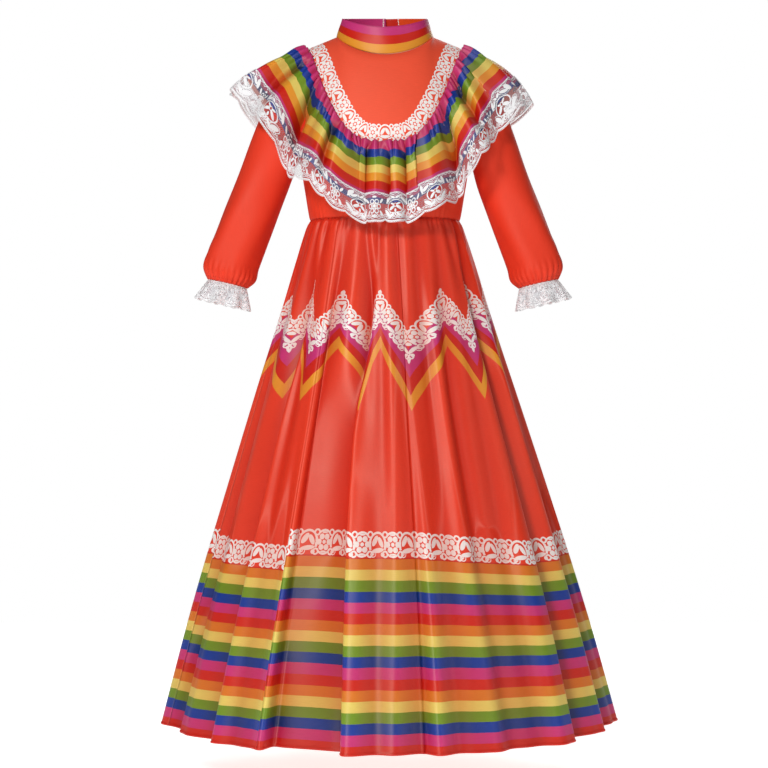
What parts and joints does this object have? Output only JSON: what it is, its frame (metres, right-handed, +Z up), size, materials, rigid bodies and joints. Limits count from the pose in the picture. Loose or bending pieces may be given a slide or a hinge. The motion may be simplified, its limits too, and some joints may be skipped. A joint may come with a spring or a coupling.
{
  "type": "folklorico dress",
  "caption": "Long-sleeved dress with a standing collar, a striped lace-edged flounce round the shoulders, lace cuffs and a full gored skirt with a printed zigzag and striped border.",
  "frame": {"origin": "the point between the shoulders at the base of the neck, inside the neck opening, where the wearer carries the dress", "axes": "+Z up towards the collar, -Y towards the front of the dress, +X towards the wearer's left"},
  "size_m": [0.6268, 0.5364, 0.989],
  "materials": {
    "satin": "satin",
    "printed_satin": "satin",
    "striped_satin": "satin",
    "lace": "matte",
    "hook_tape": "matte"
  },
  "bodies": {
    "root": {"bodice_front": "satin", "bodice_back_left": "satin", "bodice_back_right": "satin", "sleeve_left": "satin", "sleeve_right": "satin", "skirt_gore_1": "printed_satin", "skirt_gore_2": "printed_satin", "skirt_gore_3": "printed_satin", "skirt_gore_4": "printed_satin", "skirt_gore_5": "printed_satin", "skirt_gore_6": "printed_satin", "skirt_gore_7": "printed_satin", "skirt_gore_8": "printed_satin", "collar": "striped_satin", "flounce_front": "striped_satin", "flounce_back_left": "striped_satin", "flounce_back_right": "striped_satin", "flounce_lace_front": "lace", "flounce_lace_back_left": "lace", "flounce_lace_back_right": "lace", "cuff_lace_left": "lace", "cuff_lace_right": "lace", "back_fastener": "hook_tape", "collar_fastener": "hook_tape"}
  },
  "joints": []
}
